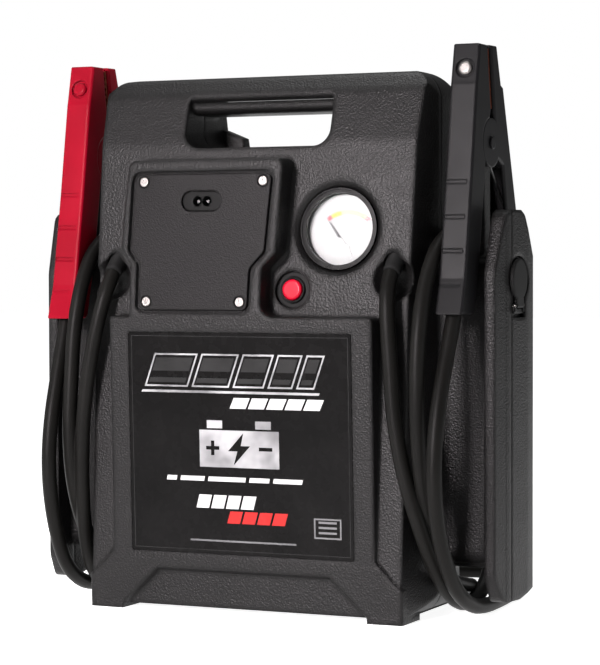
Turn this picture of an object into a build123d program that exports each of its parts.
from build123d import *
import os
from math import atan2, cos, degrees, radians, sin, tan, pi

# Jump starter pack: two-shell case, charger cover, gauge, test button, 12 V socket,
# two parked clamps and two cables wound on the side bobbins.
# X runs across the case, Y to the rear, Z up. The floor is Z = 0.

# ---- overall sizes (mm) ----
case_height = 445.0
case_half_width = 140.0        # at the front corners
case_side_half_width = 149.0   # at the parting plane
front_foot_y = -66.0
rear_foot_y = 70.0
wall = 3.0

# ---- front faces: lower face, upper face, handle band ----
bend_z = 255.0
bend_y = -53.0
crease_z = 387.0
crease_y = -38.5
brow_z = 430.0
brow_y = -25.0
face_lean = atan2(crease_y - bend_y, crease_z - bend_z)

# ---- raised panel and charger frame ----
panel_half = 118.5
panel_top_z = 244.5
panel_bottom_y = -65.5
panel_peak_y = -74.0
frame_top_z = 373.5
frame_top_y = -64.0
frame_lean = atan2(frame_top_y - panel_peak_y, frame_top_z - panel_top_z)

# ---- side bobbins ----
core_x = (146.0, 198.0)
core_y = (-4.0, 30.0)
core_z = (40.0, 296.0)
flange_inner_x = 196.0
flange_outer_x = 206.0
flange_wide_x = 213.5

# ---- gauge, button, cable exits ----
gauge_x = 77.0
gauge_z = 316.5
well_r = 39.0
bezel_r = 33.5
dial_r = 28.0
needle_pivot = (4.0, -15.0)
button_x = 39.3
button_z = 266.8
exit_x = 126.6

# ---- handle opening ----
grip_half = 66.5
grip_bottom_z = 384.0
grip_roof_z = 413.0
grip_brow_z = 433.0

# ---- clamps ----
clamp_x = 177.0
clamp_half = 11.5
pivot_y = 12.0
pivot_z = 385.5
lug_r = 15.5                   # middle lug of the front arm
left_clamp_drop = 6.0
cable_d = 12.5

os.makedirs("parts", exist_ok=True)


def face_y(z):
    """Y of the case's front face at a height between the bend and the crease."""
    return bend_y + (z - bend_z) * tan(face_lean)


def face_plane(x, z):
    """Plane on the leaning gauge face, local y up the slope, z out of the case."""
    normal = (0, -cos(face_lean), sin(face_lean))
    return Plane(origin=(x, face_y(z), z), x_dir=(1, 0, 0), z_dir=normal)


def frame_y(z):
    """Y of the raised charger frame's face at a height."""
    return panel_peak_y + (z - panel_top_z) * tan(frame_lean)


frame_plane = Plane(
    origin=(0, panel_peak_y, panel_top_z),
    x_dir=(1, 0, 0),
    z_dir=(0, -cos(frame_lean), sin(frame_lean)),
)

# side profile of the case (y, z) from the front foot over the top to the rear foot
side_points = [
    (front_foot_y, 0),
    (bend_y, bend_z),
    (crease_y, crease_z),
    (brow_y, brow_z),
    (-13, 443),
    (2, case_height),
    (22, 443),
    (40, 428),
    (48, 395),
    (52, 340),
    (66, 285),
    (rear_foot_y + 4, 250),
    (rear_foot_y + 4, 6),
    (rear_foot_y, 0),
]
side_radii = [150, 40, 16, 10, 12, 12, 16, 40, 40, 60, 40, 2]

# plan of the right half of the case (x, y)
plan_half = [
    (0, -90),
    (case_half_width - 2, -90),
    (case_half_width, front_foot_y),
    (case_side_half_width, 0),
    (case_side_half_width, 34),
    (132, 90),
    (0, 90),
]


def case_solid(inset):
    """The case's main block, or its inner space when inset is the wall."""
    with BuildPart() as block:
        with BuildSketch(Plane.YZ):
            with BuildLine():
                over = FilletPolyline(*side_points, radius=side_radii)
                Line(over @ 1, over @ 0)
            make_face()
            if inset:
                offset(amount=-inset, kind=Kind.INTERSECTION, mode=Mode.REPLACE)
        extrude(amount=170, both=True)
        with BuildSketch(Plane.XY.offset(-5)):
            with BuildLine():
                right = Polyline(*plan_half)
                mirror(right, about=Plane.YZ)
            make_face()
            if inset:
                offset(amount=-inset, kind=Kind.INTERSECTION, mode=Mode.REPLACE)
        extrude(amount=case_height + 20, mode=Mode.INTERSECT)
        with BuildSketch(Plane.XZ):
            with Locations((0, case_height / 2)):
                RectangleRounded(2 * (case_side_half_width - inset), case_height + 60, 1)
            top_corner = 24
            with Locations((0, case_height / 2 - inset)):
                RectangleRounded(
                    2 * (case_side_half_width - inset), case_height, top_corner, mode=Mode.INTERSECT
                )
        extrude(amount=120, both=True, mode=Mode.INTERSECT)
    return block.part


# ---- raised panel with the charger frame (x, z), drawn at the front ----
plateau_outline = [
    (141.5, -2),
    (141.5, 28),
    (136, 32),
    (panel_half, 50),
    (panel_half, panel_top_z),
    (20.3, panel_top_z),
    (20.3, 284.5),
    (32.8, 297),
    (36.6, frame_top_z - 5),
    (33, frame_top_z),
    (-99.5, frame_top_z),
    (-104.5, frame_top_z - 4),
    (-109.7, 301),
    (-99.8, 288),
    (-99.8, panel_top_z),
    (-panel_half, panel_top_z),
    (-panel_half, 50),
    (-136, 32),
    (-141.5, 28),
    (-141.5, -2),
]
plateau_radii = [2, 3, 3, 3, 12, 7, 7, 3, 2, 2, 3, 7, 7, 1.5, 2, 3, 3, 2]


def plateau_solid(inset):
    """The raised front panel, or its inner space when inset is the wall."""
    with BuildPart() as raised:
        with BuildSketch(Plane.XZ.offset(28)):
            with BuildLine():
                around = FilletPolyline(*plateau_outline, radius=plateau_radii)
                Line(around @ 1, around @ 0)
            make_face()
            if inset:
                offset(amount=-inset, kind=Kind.INTERSECTION, mode=Mode.REPLACE)
        extrude(amount=62)
        with BuildSketch(Plane.YZ):
            with BuildLine():
                Polyline(
                    (0, -5),
                    (panel_bottom_y + inset, -5),
                    (panel_bottom_y + inset, 0),
                    (panel_peak_y + inset, panel_top_z + 4),
                    (frame_top_y + inset, frame_top_z),
                    (frame_top_y + inset, frame_top_z + 20),
                    (0, frame_top_z + 20),
                    (0, -5),
                )
            make_face()
        extrude(amount=200, both=True, mode=Mode.INTERSECT)
        with Locations((0, 0, 240 + inset)):
            Box(400, 400, 480, mode=Mode.INTERSECT)
        if not inset:
            front = raised.faces().filter_by(lambda f: f.normal_at().Y < -0.95)
            fillet(front.edges().filter_by(lambda e: e.center().Z > 1), 1.6)
    return raised.part


flange_outline = [
    (15, 15),
    (-12, 15),
    (-26, 36),
    (-26, 280),
    (-9, 327),
    (0, 331),
    (17, 331),
    (24, 327),
    (52, 275),
    (58, 235),
    (58, 52),
    (44, 22),
    (15, 15),
]
flange_radii = [12, 14, 20, 8, 4, 4, 8, 30, 30, 22, 16]


def bobbin_solid(inset):
    """Right bobbin: the core the cable winds on and the flange that keeps it there."""
    with BuildPart() as bobbin:
        with BuildSketch(Plane.YZ.offset(core_x[0] - inset)):
            with Locations(((core_y[0] + core_y[1]) / 2, (core_z[0] + core_z[1]) / 2)):
                RectangleRounded(
                    core_y[1] - core_y[0] - 2 * inset,
                    core_z[1] - core_z[0] - 2 * inset,
                    14 - inset,
                )
        extrude(amount=core_x[1] - core_x[0] + 3 * inset)
        with BuildPart(mode=Mode.PRIVATE) as flange:
            with BuildSketch(Plane.XY):
                with BuildLine():
                    Polyline(
                        (flange_inner_x, -30),
                        (flange_outer_x - 2, -30),
                        (flange_outer_x - 1, -25),
                        (flange_outer_x + 1, -15),
                        (210, 0),
                        (flange_wide_x, 30),
                        (flange_wide_x, 42),
                        (208, 54),
                        (203, 60),
                        (flange_inner_x, 60),
                        (flange_inner_x, -30),
                    )
                make_face()
                if inset:
                    offset(amount=-inset, kind=Kind.INTERSECTION, mode=Mode.REPLACE)
            extrude(amount=340)
            with BuildSketch(Plane.YZ.offset(180)):
                with BuildLine():
                    rim = FilletPolyline(*flange_outline[:-1], radius=flange_radii[:-1])
                    Line(rim @ 1, rim @ 0)
                make_face()
                if inset:
                    offset(amount=-inset, kind=Kind.INTERSECTION, mode=Mode.REPLACE)
            extrude(amount=50, mode=Mode.INTERSECT)
        add(flange.part)
    return bobbin.part


def handle_solid(grow):
    """The space under the grip, or the same space grown by the wall."""
    with BuildPart() as space:
        with BuildSketch(Plane.XZ):
            with Locations((0, (grip_bottom_z + grip_brow_z) / 2)):
                RectangleRounded(
                    2 * (grip_half + grow), grip_brow_z - grip_bottom_z + 2 * grow, 14 + grow / 2
                )
        extrude(amount=90, both=True)
        with BuildSketch(Plane.YZ):
            with BuildLine():
                roof = grip_roof_z + grow
                brow = grip_brow_z + grow
                outline = FilletPolyline(
                    (-90, grip_bottom_z - grow),
                    (-90, brow),
                    (-27 - grow, brow),
                    (-21, roof),
                    (28, roof),
                    (36 + grow, brow - 5),
                    (90, brow - 5),
                    (90, grip_bottom_z - grow),
                    radius=[0.5, 3, 14, 14, 3, 0.5],
                )
                Line(outline @ 1, outline @ 0)
            make_face()
        extrude(amount=100, both=True, mode=Mode.INTERSECT)
    return space.part


# rear corners of the opening, which slope in towards the bottom (x, z)
with BuildPart() as opening_corners:
    with BuildSketch(Plane.XZ.offset(-36)):
        for side in (-1, 1):
            with BuildLine():
                Polyline(
                    (side * (grip_half + 6), grip_bottom_z - 6),
                    (side * (grip_half + 6), 403),
                    (side * (grip_half - 1), 403),
                    (side * 47.5, 395.5),
                    (side * 45.5, grip_bottom_z - 6),
                    (side * (grip_half + 6), grip_bottom_z - 6),
                )
            make_face()
    extrude(amount=-20)

# ---- fittings set into the faces ----
gauge_plane = face_plane(gauge_x, gauge_z)
button_plane = face_plane(button_x, button_z)
scoop_x = 128.0
scoop_y = -55.0
scoop_z = 276.0
scoop_r = 18.0
gland_y = -50.0
gland_z = 282.0
gland_dir = (0, 0.68, 0.7332)
case_screws = [(x, z) for x in (-128, 128) for z in (26, 128, 222)] + [(-104, 410), (104, 410)]
socket_y = 13.0
socket_z = 275.0
strap_z = 120.0
battery_size = (181.0, 76.0, 167.0)
battery_y = 4.0
battery_foot = 7.1

# charger cover outline on the frame plane (x, up the slope from the panel's top edge)
cover_outline = [
    (-98.3, 118.2),
    (27.7, 118.2),
    (22.6, 53.5),
    (9.6, 39.5),
    (8.6, 5.0),
    (-91.8, 5.0),
    (-91.8, 44.0),
    (-100.6, 55.0),
]
cover_screws = [(-89.4, 111.6), (19.6, 111.2), (-84.2, 12.4), (1.6, 12.4)]
inlet_at = (-35.9, 95.3)
inlet_size = (36.6, 17.0)


def cover_sketch(grow):
    """Outline of the charger cover, grown or shrunk evenly."""
    with BuildSketch() as outline:
        with BuildLine():
            Polyline(*cover_outline, cover_outline[0])
        make_face()
        fillet(outline.vertices(), 6)
        if grow:
            offset(amount=grow, kind=Kind.ARC, mode=Mode.REPLACE)
    return outline.sketch


def gland_point(side, along):
    """Point on a cable gland's axis, a distance in from the scoop."""
    return (side * exit_x, gland_y + gland_dir[1] * along, gland_z + gland_dir[2] * along)


with BuildPart() as solid_backing:
    # material kept behind the fittings: bosses, ledges and the raised floor
    with BuildSketch(gauge_plane):
        Circle(well_r + 3)
    extrude(amount=-14)
    with BuildSketch(button_plane):
        Circle(18.2)
    extrude(amount=-10)
    for side in (-1, 1):
        with Locations((side * scoop_x, scoop_y, scoop_z)):
            Sphere(scoop_r + 3)
        with Locations(Plane(origin=gland_point(side, 12), z_dir=gland_dir)):
            Cylinder(12, 20)
    with BuildSketch(frame_plane.offset(-8)):
        add(cover_sketch(4.6))
    extrude(amount=30)
    with Locations([frame_plane.offset(-11) * Location((x, v, 0)) for x, v in cover_screws]):
        Cylinder(4.5, 18)
    for x, z in case_screws:
        with Locations(Plane(origin=(x, 0, z), z_dir=(0, 1, 0))):
            Cylinder(6.5, 180)
    for x in (-100, 100):
        with Locations(Plane(origin=(x, 55, strap_z), z_dir=(0, 1, 0))):
            Cylinder(7, 60)
    with Locations((0, 0, 0)):
        Box(226, 200, 14)
    with Locations((0, -64, 22)):
        Box(234, 16, 46)
    add(handle_solid(wall))

with BuildPart() as cuts:
    # everything taken out of the two shells
    add(handle_solid(0))
    add(opening_corners.part, mode=Mode.SUBTRACT)
    with BuildSketch(gauge_plane):
        Circle(well_r)
    with BuildSketch(gauge_plane.offset(-5)):
        Circle(bezel_r + 0.5)
    loft()
    with BuildSketch(gauge_plane.offset(1)):
        Circle(bezel_r + 0.5)
    extrude(amount=-40)
    with BuildSketch(button_plane.offset(6)):
        Circle(15.3)
    extrude(amount=-11)
    with BuildSketch(button_plane):
        Circle(12.3)
    extrude(amount=-30)
    for side in (-1, 1):
        with Locations((side * scoop_x, scoop_y, scoop_z)):
            Sphere(scoop_r)
        with Locations(Plane(origin=gland_point(side, 18), z_dir=gland_dir)):
            Cylinder(8.9, 36)
    with BuildSketch(frame_plane.offset(6)):
        add(cover_sketch(2.2))
    extrude(amount=-9.4)
    with BuildSketch(frame_plane):
        add(cover_sketch(-9.5))
    extrude(amount=-14)
    with Locations([frame_plane.offset(-10) * Location((x, v, 0)) for x, v in cover_screws]):
        Cylinder(1.8, 18)
    for x, z in case_screws:
        with Locations(Plane(origin=(x, 45, z), z_dir=(0, 1, 0))):
            Cylinder(2.2, 130)
        head_y = 62 if z < 300 else 41
        with Locations(Plane(origin=(x, head_y + 25, z), z_dir=(0, 1, 0))):
            Cylinder(5.2, 50)
    for x in (-100, 100):
        with Locations(Plane(origin=(x, 34, strap_z), z_dir=(0, 1, 0))):
            Cylinder(2.6, 30)
    # label bed, base recess and the raised middle of the foot
    label_lean = atan2(panel_peak_y - panel_bottom_y, panel_top_z)
    label_plane = Plane(
        origin=(0, panel_bottom_y, 0),
        x_dir=(1, 0, 0),
        z_dir=(0, -cos(label_lean), sin(label_lean)),
    )
    with BuildSketch(label_plane):
        with Locations((0, 140.8)):
            RectangleRounded(202, 183, 2)
    extrude(amount=-1.1)
    with BuildSketch(Plane.XZ.offset(60)):
        with BuildLine():
            Polyline((-77, 33), (77, 33), (108, 4), (108, -2), (-108, -2), (-108, 4), (-77, 33))
        make_face()
    extrude(amount=12, taper=-25)
    with Locations((0, 0, 0)):
        Box(222, 220, 8)
    # 12 V socket seat in the right flange
    with Locations(Plane(origin=(200, socket_y, socket_z), z_dir=(1, 0, 0))):
        Cylinder(13.9, 30)
    with Locations(Plane(origin=(219.4, socket_y, socket_z), z_dir=(1, 0, 0))):
        Cylinder(19, 20)
    with Locations((219.4, socket_y, socket_z - 20)):
        Box(20, 24, 22)
    # lines down the outside of both flanges
    for side in (-1, 1):
        with Locations((side * 209.6, -9, 175), (side * 211.2, 0, 175)):
            Box(3, 1.4, 330)

with BuildPart() as case_outer:
    add(case_solid(0))
    add(plateau_solid(0))
    right_bobbin = bobbin_solid(0)
    add(right_bobbin)
    add(mirror(right_bobbin, about=Plane.YZ, mode=Mode.PRIVATE))

with BuildPart() as case_inner:
    add(case_solid(wall))
    add(plateau_solid(wall))
    right_space = bobbin_solid(wall)
    add(right_space)
    add(mirror(right_space, about=Plane.YZ, mode=Mode.PRIVATE))
    add(solid_backing.part, mode=Mode.SUBTRACT)

with BuildPart() as front_shell:
    add(case_outer.part)
    add(case_inner.part, mode=Mode.SUBTRACT)
    add(cuts.part, mode=Mode.SUBTRACT)
    split(bisect_by=Plane.XZ, keep=Keep.TOP)

with BuildPart() as rear_shell:
    add(case_outer.part)
    add(case_inner.part, mode=Mode.SUBTRACT)
    add(cuts.part, mode=Mode.SUBTRACT)
    split(bisect_by=Plane.XZ, keep=Keep.BOTTOM)
    # a post on each bobbin that carries the parked clamp by its pivot lug
    for side, drop in ((1, 0), (-1, left_clamp_drop)):
        with Locations((side * clamp_x, pivot_y, core_z[1] - 2)):
            Box(15, 14, 82 - drop, align=(Align.CENTER, Align.CENTER, Align.MIN))
        with Locations(Plane(origin=(side * clamp_x, pivot_y, pivot_z - drop), z_dir=(1, 0, 0))):
            Cylinder(lug_r, 30, mode=Mode.SUBTRACT)


# ---- charger behind its cover ----
def at_frame(x, v, depth):
    """Location on the frame plane, set back by depth."""
    return frame_plane * Location((x, v, -depth))


with BuildPart() as charger_cover:
    with BuildSketch(frame_plane.offset(-3.3)):
        add(cover_sketch(-0.4))
    extrude(amount=2.9)
    face = charger_cover.faces().sort_by(Axis.Y)[0]
    fillet(face.edges(), 0.8)
    with BuildSketch(frame_plane.offset(-4)):
        with Locations(inlet_at):
            RectangleRounded(*inlet_size, inlet_size[1] / 2 - 0.1)
    extrude(amount=8, mode=Mode.SUBTRACT)
    with Locations([at_frame(x, v, 0.4) for x, v in cover_screws]):
        Cylinder(5.0, 2.2, mode=Mode.SUBTRACT)
        Cylinder(1.9, 20, mode=Mode.SUBTRACT)

with BuildPart() as charger_cover_screws:
    with Locations([at_frame(x, v, 0.75) for x, v in cover_screws]):
        Cylinder(3.9, 1.4)
        Cylinder(1.75, 12, align=(Align.CENTER, Align.CENTER, Align.MAX))
    heads = [e for e in charger_cover_screws.edges() if abs(e.length - 2 * pi * 3.9) < 0.1]
    fillet([e for e in heads if e.center().Y < frame_y(e.center().Z) + 0.5], 0.65)
    for angle in (0, 90):
        with Locations([at_frame(x, v, 0.2) * Location((0, 0, 0), (0, 0, angle)) for x, v in cover_screws]):
            Box(3.8, 0.9, 1.1, mode=Mode.SUBTRACT)

with BuildPart() as charge_inlet:
    # rounded body behind the cover with the twin round shroud for the two pins
    with BuildSketch(frame_plane.offset(-3.4)):
        with Locations(inlet_at):
            RectangleRounded(inlet_size[0] + 8, inlet_size[1] + 8, 6)
    extrude(amount=-2)
    with BuildSketch(frame_plane.offset(-3.5)):
        with Locations(inlet_at):
            RectangleRounded(inlet_size[0] - 0.6, inlet_size[1] - 0.6, inlet_size[1] / 2 - 0.5)
    extrude(amount=1.2)
    with BuildSketch(frame_plane.offset(-5)):
        with Locations(inlet_at):
            RectangleRounded(20, 12, 5)
    extrude(amount=-16)
    with BuildSketch(frame_plane.offset(0)):
        with Locations((inlet_at[0] - 4.3, inlet_at[1]), (inlet_at[0] + 4.3, inlet_at[1])):
            Circle(4.1)
    extrude(amount=-12.5, mode=Mode.SUBTRACT)
    with Locations([at_frame(inlet_at[0] + dx, inlet_at[1], 16.5) for dx in (-4.3, 4.3)]):
        Cylinder(1.2, 24, mode=Mode.SUBTRACT)

with BuildPart() as inlet_pins:
    for dx in (-4.3, 4.3):
        with Locations(at_frame(inlet_at[0] + dx, inlet_at[1], 16.5)):
            Cylinder(1.2, 24)

with BuildPart() as charger_board:
    with BuildSketch(frame_plane.offset(-34)):
        with Locations((-42, 62)):
            Rectangle(92, 74)
    extrude(amount=1.6)

with BuildPart() as charger_transformer:
    with BuildSketch(frame_plane.offset(-32.3)):
        with Locations((-62, 50)):
            RectangleRounded(40, 34, 2)
    extrude(amount=17)
    with BuildSketch(frame_plane.offset(-32.3)):
        with Locations((-22, 45)):
            RectangleRounded(22, 26, 2)
    extrude(amount=10)

# ---- gauge ----
with BuildPart() as gauge_bezel:
    with BuildSketch(gauge_plane.offset(-9)):
        Circle(bezel_r)
        Circle(dial_r + 1.6, mode=Mode.SUBTRACT)
    extrude(amount=5.2)
    with BuildSketch(gauge_plane.offset(-9)):
        Circle(bezel_r)
        Circle(bezel_r - 1.2, mode=Mode.SUBTRACT)
    extrude(amount=6.4)

with BuildPart() as gauge_lens:
    with BuildSketch(gauge_plane.offset(-6.6)):
        Circle(dial_r + 1.5)
    extrude(amount=1.6)

with BuildPart() as gauge_can:
    with BuildSketch(gauge_plane.offset(-9.2)):
        Circle(dial_r + 3.4)
    extrude(amount=-28)
    with BuildSketch(gauge_plane.offset(-9.2)):
        Circle(dial_r + 1.4)
    extrude(amount=-4, mode=Mode.SUBTRACT)
    with BuildSketch(gauge_plane.offset(-9.2)):
        with Locations(needle_pivot):
            Circle(1.6)
    extrude(amount=-7, mode=Mode.SUBTRACT)

with BuildPart() as gauge_dial:
    with BuildSketch(gauge_plane.offset(-13.1)):
        Circle(dial_r + 1.2)
        with Locations(needle_pivot):
            Circle(1.6, mode=Mode.SUBTRACT)
    extrude(amount=0.8)

with BuildPart() as gauge_needle:
    with BuildSketch(gauge_plane.offset(-11.6) * Location((*needle_pivot, 0), (0, 0, 126))):
        Circle(2.8)
        with BuildLine():
            Polyline((-7, -1.1), (-7, 1.1), (0, 1.3), (27, 0.3), (27, -0.3), (0, -1.3), (-7, -1.1))
        make_face()
    extrude(amount=0.7)
    with BuildSketch(gauge_plane.offset(-15.6)):
        with Locations(needle_pivot):
            Circle(1.2)
    extrude(amount=4.2)

# ---- test button ----
with BuildPart() as button_bushing:
    with BuildSketch(button_plane.offset(-4.8)):
        Circle(15.0)
    extrude(amount=1.5)
    with BuildSketch(button_plane.offset(-4.5)):
        Circle(12.0)
    extrude(amount=-24)
    with BuildSketch(button_plane.offset(-3.4)):
        Circle(10.6)
    extrude(amount=2.2)
    with BuildSketch(button_plane):
        Circle(8.95)
    extrude(amount=-22, mode=Mode.SUBTRACT)

with BuildPart() as test_button:
    with BuildSketch(button_plane.offset(-10)):
        Circle(8.6)
    extrude(amount=11.6)
    fillet(test_button.edges().sort_by(Axis.Y)[0], 2.2)

with BuildPart() as button_spring:
    with BuildLine():
        coil = Helix(2.65, 10.6, 5.5, center=button_plane.offset(-21.3).origin, direction=button_plane.z_dir)
    with BuildSketch(Plane(origin=coil @ 0, z_dir=coil % 0)):
        Circle(0.55)
    sweep(path=coil, is_frenet=True)

# ---- label ----
with BuildPart() as label_plate:
    with BuildSketch(label_plane.offset(-1.0)):
        with Locations((0, 140.8)):
            RectangleRounded(201, 182, 1.6)
    extrude(amount=0.9)

# ---- 12 V socket in the right flange ----
def socket_plane(x):
    """Plane facing out of the right flange at X, centred on the socket."""
    return Plane(origin=(x, socket_y, socket_z), x_dir=(0, 1, 0), z_dir=(1, 0, 0))


with BuildPart() as accessory_socket:
    with BuildSketch(socket_plane(209.2)):
        Circle(13.6)
        Circle(10.9, mode=Mode.SUBTRACT)
    extrude(amount=-48)
    with BuildSketch(socket_plane(161.2)):
        Circle(13.6)
        Circle(4.2, mode=Mode.SUBTRACT)
    extrude(amount=-2)

with BuildPart() as socket_contact:
    with BuildSketch(socket_plane(158)):
        Circle(3.9)
    extrude(amount=6)
    with BuildSketch(socket_plane(164)):
        Circle(3.0)
    extrude(amount=5)

with BuildPart() as socket_cap:
    with BuildSketch(socket_plane(209.8)):
        Circle(17.0)
    extrude(amount=3.4)
    fillet(socket_cap.edges().sort_by(Axis.X)[-1], 1.4)
    with BuildSketch(socket_plane(210.5)):
        Circle(10.2)
    extrude(amount=-5)
    with Locations((211.5, socket_y, socket_z - 18.2)):
        Box(3.2, 15, 6)
    with Locations(Plane(origin=(211.6, socket_y, socket_z - 21.5), z_dir=(0, 1, 0))):
        Cylinder(1.7, 15)
        Cylinder(0.9, 40, mode=Mode.SUBTRACT)

with BuildPart() as socket_cap_pin:
    with Locations(Plane(origin=(211.6, socket_y, socket_z - 21.5), z_dir=(0, 1, 0))):
        Cylinder(0.85, 22)

with BuildPart() as socket_hinge_base:
    with Locations((210.4, socket_y, socket_z - 25.6)):
        Box(1.9, 23, 4.2)
    for side in (-1, 1):
        with Locations((210.9, socket_y + side * 9.8, socket_z - 23)):
            Box(2.9, 3.4, 7)
    with Locations(Plane(origin=(211.6, socket_y, socket_z - 21.5), z_dir=(0, 1, 0))):
        Cylinder(0.9, 40, mode=Mode.SUBTRACT)

# ---- battery, its strap and the inner leads ----
with BuildPart() as battery:
    with Locations((0, battery_y, battery_foot)):
        Box(*battery_size, align=(Align.CENTER, Align.CENTER, Align.MIN))
    fillet(battery.edges().filter_by(Axis.Z), 4)
    chamfer(battery.edges().group_by(Axis.Z)[-1], 2)

battery_top = battery_foot + battery_size[2]
with BuildPart() as battery_terminals:
    for side in (-1, 1):
        with Locations((side * 76, battery_y - 22, battery_top)):
            Box(13, 12, 9, align=(Align.CENTER, Align.CENTER, Align.MIN))

with BuildPart() as battery_strap:
    with Locations((0, battery_y - 40.2, strap_z)):
        Box(214, 2, 22)
    for x in (-100, 100):
        with Locations(Plane(origin=(x, battery_y - 40, strap_z), z_dir=(0, 1, 0))):
            Cylinder(2.9, 8, mode=Mode.SUBTRACT)

with BuildPart() as strap_screws:
    for x in (-100, 100):
        with Locations(Plane(origin=(x, battery_y - 41.4, strap_z), z_dir=(0, -1, 0))):
            Cylinder(4.8, 3, align=(Align.CENTER, Align.CENTER, Align.MIN))
            Cylinder(2.5, 82, align=(Align.CENTER, Align.CENTER, Align.MAX))

with BuildPart() as lead_lugs:
    for side in (-1, 1):
        with Locations((side * 76, battery_y - 22, battery_top + 9)):
            Box(16, 14, 3, align=(Align.CENTER, Align.CENTER, Align.MIN))
        with Locations((side * 76, battery_y - 22, battery_top + 12)):
            Cylinder(4.5, 18, align=(Align.CENTER, Align.CENTER, Align.MIN))

with BuildPart() as case_screw_set:
    for x, z in case_screws:
        head_y = 62 if z < 300 else 41
        with Locations(Plane(origin=(x, head_y, z), z_dir=(0, 1, 0))):
            Cylinder(4.6, 3, align=(Align.CENTER, Align.CENTER, Align.MIN))
            Cylinder(2.1, head_y + 14, align=(Align.CENTER, Align.CENTER, Align.MAX))


# ---- glands ----
parts = {}
for name, side in (("right", 1), ("left", -1)):
    with BuildPart() as gland:
        with Locations(Plane(origin=gland_point(side, 14), z_dir=gland_dir)):
            Cylinder(8.75, 24)
    parts[f"{name}_cable_gland"] = gland.part

    with BuildPart() as inner_lead:
        lug = (side * 76, battery_y - 22, battery_top + 30)
        with BuildLine() as route:
            FilletPolyline(
                gland_point(side, 26),
                gland_point(side, 48),
                (side * 112, 7, 303),
                (side * 82, 9, 288),
                (side * 76, battery_y - 22, 262),
                lug,
                radius=[7, 11, 12, 18],
            )
        lead_path = route.wires()[0]
        with BuildSketch(Plane(origin=lead_path @ 0, z_dir=lead_path % 0)):
            Circle(cable_d / 2)
        sweep(path=lead_path)
    parts[f"{name}_inner_lead"] = inner_lead.part

# ---- clamps: profiles as (y, z), jaws up, handles down ----
front_arm_outline = [
    (-14.5, 464),
    (3.4, 464),
    (11.4, 412),
    (6, 398),
    (-1, 370),
    (-7, 334),
    (-14, 296),
    (-26, 250),
    (-29, 247.5),
    (-57, 247.5),
    (-47.5, 276),
    (-34, 353.5),
    (-21.8, 431),
    (-21, 434),
]
rear_arm_outline = [
    (11.6, 464.5),
    (25, 464.7),
    (35.3, 434),
    (40.5, 432),
    (72.5, 334.6),
    (100, 248),
    (72, 248),
    (60, 296),
    (48, 335),
    (41, 368),
    (26, 374),
    (19.6, 412),
]
front_hollow = [(-53, 240), (-44.5, 273), (-30.5, 350), (-27.5, 369), (30, 369), (30, 240)]
rear_hollow = [(97.5, 240), (68.5, 335), (58.5, 366), (-20, 366), (-20, 240)]
grip_slots = [(-34.6, 353), (-39.3, 325), (-43.7, 298), (-47.6, 270)]
jaw_top = (7.5, 461.0)
jaw_foot = (15.3, 413.0)


def side_prism(points, half, inner=0.0):
    """A (y, z) outline as a solid across the clamp, or as two cheeks outside inner."""
    with BuildPart() as prism:
        with BuildSketch(Plane.YZ.offset(-half)):
            with BuildLine():
                Polyline(*points, points[0])
            make_face()
        extrude(amount=2 * half)
        if inner:
            Box(2 * inner, 900, 1100, mode=Mode.SUBTRACT)
    return prism.part


def pivot_disc(radius, half, inner=0.0):
    """A round lug about the clamp pivot, or two outside inner."""
    with BuildPart() as disc:
        with Locations(Plane(origin=(0, pivot_y, pivot_z), z_dir=(1, 0, 0))):
            Cylinder(radius, 2 * half)
        if inner:
            Box(2 * inner, 900, 1100, mode=Mode.SUBTRACT)
    return disc.part


def jaw_strip(back, shift):
    """Toothed copper strip along the jaw line; back is the side it is seated on."""
    count = 11
    run_y = (jaw_foot[0] - jaw_top[0]) / count
    run_z = (jaw_foot[1] - jaw_top[1]) / count
    teeth = []
    for k in range(count):
        y = jaw_top[0] + run_y * k
        z = jaw_top[1] + run_z * k
        teeth.append((y + back * 0.25, z))
        teeth.append((y + run_y * shift + back * 1.4, z + run_z * shift))
    teeth.append((jaw_foot[0] + back * 0.25, jaw_foot[1]))
    teeth.append((jaw_foot[0] + back * 3.6, jaw_foot[1] + 0.6))
    teeth.append((jaw_top[0] + back * 3.6, jaw_top[1] + 0.6))
    return side_prism(teeth, clamp_half - 2.5)


def rod(start, end, radius):
    """A round bar between two points."""
    axis = Vector(*end) - Vector(*start)
    with BuildPart() as bar:
        with Locations(Plane(origin=start, z_dir=axis)):
            Cylinder(radius, axis.length, align=(Align.CENTER, Align.CENTER, Align.MIN))
    return bar.part


front_bolt_plane = Plane(origin=(0, -16.8, 444), x_dir=(1, 0, 0), z_dir=(0, -0.977, 0.212))
rear_bolt_plane = Plane(origin=(0, 29.3, 446), x_dir=(1, 0, 0), z_dir=(0, 0.948, 0.318))


def arm(outline, hollow, bolt_plane):
    """One moulded arm before its pivot lugs are formed."""
    with BuildPart() as blank:
        add(side_prism(outline, clamp_half))
        rims = blank.edges().filter_by(lambda e: abs(abs(e.center().X) - clamp_half) < 0.1)
        fillet(rims, 2.2)
        add(side_prism(hollow, clamp_half - 3.2), mode=Mode.SUBTRACT)
        with Locations(bolt_plane):
            Cylinder(7.8, 9, align=(Align.CENTER, Align.CENTER, Align.MIN), mode=Mode.SUBTRACT)
            Cylinder(3.1, 70, mode=Mode.SUBTRACT)
    return blank.part


bolt_head_r = 5.8
bolt_shank_r = 3.0
front_shank_length = 20.5
rear_shank_length = 15.0


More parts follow.
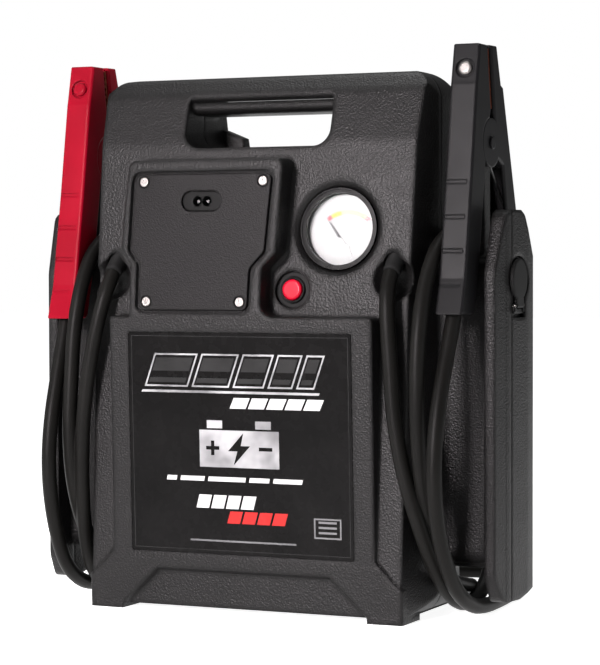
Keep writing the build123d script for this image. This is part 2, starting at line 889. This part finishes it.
def bolt(plane, shank_length):
    """A domed bolt from the arm's recess towards the jaw."""
    with BuildPart() as fastener:
        with Locations(plane):
            Cylinder(bolt_head_r, 3.0, align=(Align.CENTER, Align.CENTER, Align.MIN))
        fillet(fastener.edges().sort_by(lambda e: abs(e.center().Y - 12))[-1], 2.6)
        with Locations(plane):
            Cylinder(bolt_shank_r, shank_length, align=(Align.CENTER, Align.CENTER, Align.MAX))
    return fastener.part


def clamp_pieces():
    """The pieces of one clamp, centred on X = 0 at the right clamp's height."""
    with BuildPart() as front_arm:
        add(arm(front_arm_outline, front_hollow, front_bolt_plane))
        add(pivot_disc(20.6, clamp_half + 1, 7.7), mode=Mode.SUBTRACT)
        add(pivot_disc(lug_r, 7.4))
        add(pivot_disc(11, 4.3), mode=Mode.SUBTRACT)
        slot = [(-16, 360), (-16, 370), (1, 386), (1, 396), (30, 396), (30, 360)]
        add(side_prism(slot, 4.3), mode=Mode.SUBTRACT)
        for y, z in grip_slots:
            with Locations(Location((-1.6, y, z), (-9.5, 0, 0))):
                Box(17.5, 2.6, 3.2, mode=Mode.SUBTRACT)
        add(pivot_disc(3.1, 30), mode=Mode.SUBTRACT)
    with BuildPart() as rear_arm:
        add(arm(rear_arm_outline, rear_hollow, rear_bolt_plane))
        slot = [(16, 360), (16, 392), (26, 384), (46, 364), (46, 360)]
        add(side_prism(slot, 4.3), mode=Mode.SUBTRACT)
        add(pivot_disc(16.2, 8.0), mode=Mode.SUBTRACT)
        add(pivot_disc(20, clamp_half, 8.0))
        add(pivot_disc(3.1, 30), mode=Mode.SUBTRACT)
    with BuildPart() as pin:
        add(pivot_disc(3.0, clamp_half + 1.6))
        add(pivot_disc(5.2, clamp_half + 1.6, clamp_half + 0.2))
    with BuildPart() as spring:
        for x in (-2.3, 0, 2.3):
            with Locations(Plane(origin=(x, pivot_y, pivot_z), z_dir=(1, 0, 0))):
                Torus(7, 1.2)
        add(rod((-2.3, 6.2, 381.5), (-2.3, -24.5, 354), 1.1))
        add(rod((2.3, 18, 381.5), (2.3, 63, 339), 1.1))
    return {
        "clamp_front_arm": front_arm.part,
        "clamp_rear_arm": rear_arm.part,
        "clamp_front_jaw": jaw_strip(-1, 0.5),
        "clamp_rear_jaw": jaw_strip(1, 0.5),
        "clamp_front_bolt": bolt(front_bolt_plane, front_shank_length),
        "clamp_rear_bolt": bolt(rear_bolt_plane, rear_shank_length),
        "clamp_pin": pin.part,
        "clamp_spring": spring.part,
    }


# ---- cables: from the gland round the bobbin, over it, round again, up to the clamp ----
under_and_up = [
    (166, 14, 7.5),
    (166, 50, 13),
    (165, 80, 37),
    (161, 96, 74),
    (158, 101, 120),
    (157.2, 99, 168),
    (157.2, 92, 214),
    (157.2, 76, 258),
    (157.2, 48, 294),
    (157.2, 12, 314),
    (157.2, -25, 306),
]
floor_loop = [
    (159.5, -14, 32),
    (160, 22, 23),
    (156, 57, 18),
    (138, 86, 11.5),
    (107, 108, 7.8),
    (72, 128, 7.5),
    (56.8, 160.6, 7.5),
    (63, 196, 7.5),
    (89, 218, 7.5),
    (123, 218, 7.5),
    (148.3, 195.2, 7.5),
    (160.6, 161.4, 7.5),
    (171, 125, 7.5),
    (177.5, 88, 7.5),
    (180.5, 50, 7.5),
    (181, 16, 7.5),
    (180, -12, 11),
]
right_route = [
    gland_point(1, 2),
    gland_point(1, -13),
    (128.6, -66.3, 250),
    (132, -67.6, 210),
    (135.5, -68.5, 164),
    (143.2, -67.8, 122),
    (153, -62.5, 84),
    (161.5, -51, 48),
    (165.5, -23, 19),
    *under_and_up,
    (157, -54, 276),
    (157, -70, 236),
    (157, -74, 190),
    (157, -71, 146),
    (158, -62, 104),
    (159, -43, 64),
    *floor_loop,
    (178.5, -42, 26),
    (177, -62, 50),
    (176, -78, 82),
    (175.5, -85, 118),
    (175.5, -81, 156),
    (176, -69, 192),
    (176.5, -52, 226),
    (177, -42.2, 251),
]
left_route = [
    gland_point(-1, 2),
    gland_point(-1, -13),
    (-131, -66.3, 249),
    (-140.5, -68, 206),
    (-147.5, -67, 162),
    (-151, -64, 120),
    (-154.5, -56, 80),
    (-160, -40, 44),
    (-165, -16, 17),
    *[(-x, y, z) for x, y, z in under_and_up],
    (-158, -49, 276),
    (-160, -60, 236),
    (-161, -64, 190),
    (-161, -67.5, 146),
    (-161, -62, 102),
    (-160.5, -44, 62),
    *[(-x, y, z) for x, y, z in floor_loop],
    (-179, -41, 27),
    (-177.5, -59, 53),
    (-176.5, -72, 86),
    (-176, -77, 122),
    (-176, -72, 158),
    (-176.2, -61, 192),
    (-176.6, -50, 222),
    (-177, -42.2, 245),
]


def tube(points, diameter):
    """A round cable along straight runs joined by tangent arcs; prints its radii."""
    radii = []
    for a, b, c in zip(points, points[1:], points[2:]):
        before = Vector(*b) - Vector(*a)
        after = Vector(*c) - Vector(*b)
        turn = radians(before.get_angle(after))
        radii.append(0.45 * min(before.length, after.length) / tan(turn / 2))
    with BuildPart() as run:
        with BuildLine() as route:
            FilletPolyline(*points, radius=radii)
        path = route.wires()[0]
        with BuildSketch(Plane(origin=path @ 0, z_dir=path % 0)):
            Circle(diameter / 2)
        sweep(path=path)
    section = pi * diameter ** 2 / 4
    print(f"cable length {path.length:.0f}, smallest radius {min(radii):.0f}", [round(r) for r in radii])
    print(f"cable volume over section times length {run.part.volume / (section * path.length):.4f}")
    return run.part


pieces = clamp_pieces()
for name, side, drop, route in (("right", 1, 0, right_route), ("left", -1, left_clamp_drop, left_route)):
    parts[f"{name}_cable"] = tube(route, cable_d)
    end = Vector(*route[-1])
    axis = end - Vector(*route[-2])
    parts[f"{name}_clamp_sleeve"] = rod(tuple(end), tuple(end + axis.normalized() * 20), 7.4)
    for piece, shape in pieces.items():
        parts[f"{name}_{piece}"] = Location((side * clamp_x, 0, -drop)) * shape

parts.update(
    front_shell=front_shell.part,
    rear_shell=rear_shell.part,
    shell_screws=case_screw_set.part,
    charger_cover=charger_cover.part,
    charger_cover_screws=charger_cover_screws.part,
    charge_inlet=charge_inlet.part,
    inlet_pins=inlet_pins.part,
    charger_board=charger_board.part,
    charger_transformer=charger_transformer.part,
    gauge_bezel=gauge_bezel.part,
    gauge_lens=gauge_lens.part,
    gauge_can=gauge_can.part,
    gauge_dial=gauge_dial.part,
    gauge_needle=gauge_needle.part,
    button_bushing=button_bushing.part,
    test_button=test_button.part,
    button_spring=button_spring.part,
    label_plate=label_plate.part,
    accessory_socket=accessory_socket.part,
    socket_contact=socket_contact.part,
    socket_cap=socket_cap.part,
    socket_cap_pin=socket_cap_pin.part,
    socket_hinge_base=socket_hinge_base.part,
    battery=battery.part,
    battery_terminals=battery_terminals.part,
    battery_strap=battery_strap.part,
    strap_screws=strap_screws.part,
    lead_lugs=lead_lugs.part,
)

for name, part in parts.items():
    part.label = name
    export_step(part, f"parts/{name}.step")
    sizes = [round(solid.volume) for solid in part.solids()]
    print(f"{name}: {len(sizes)} solid(s) {sizes[:4]} valid {part.is_valid}")
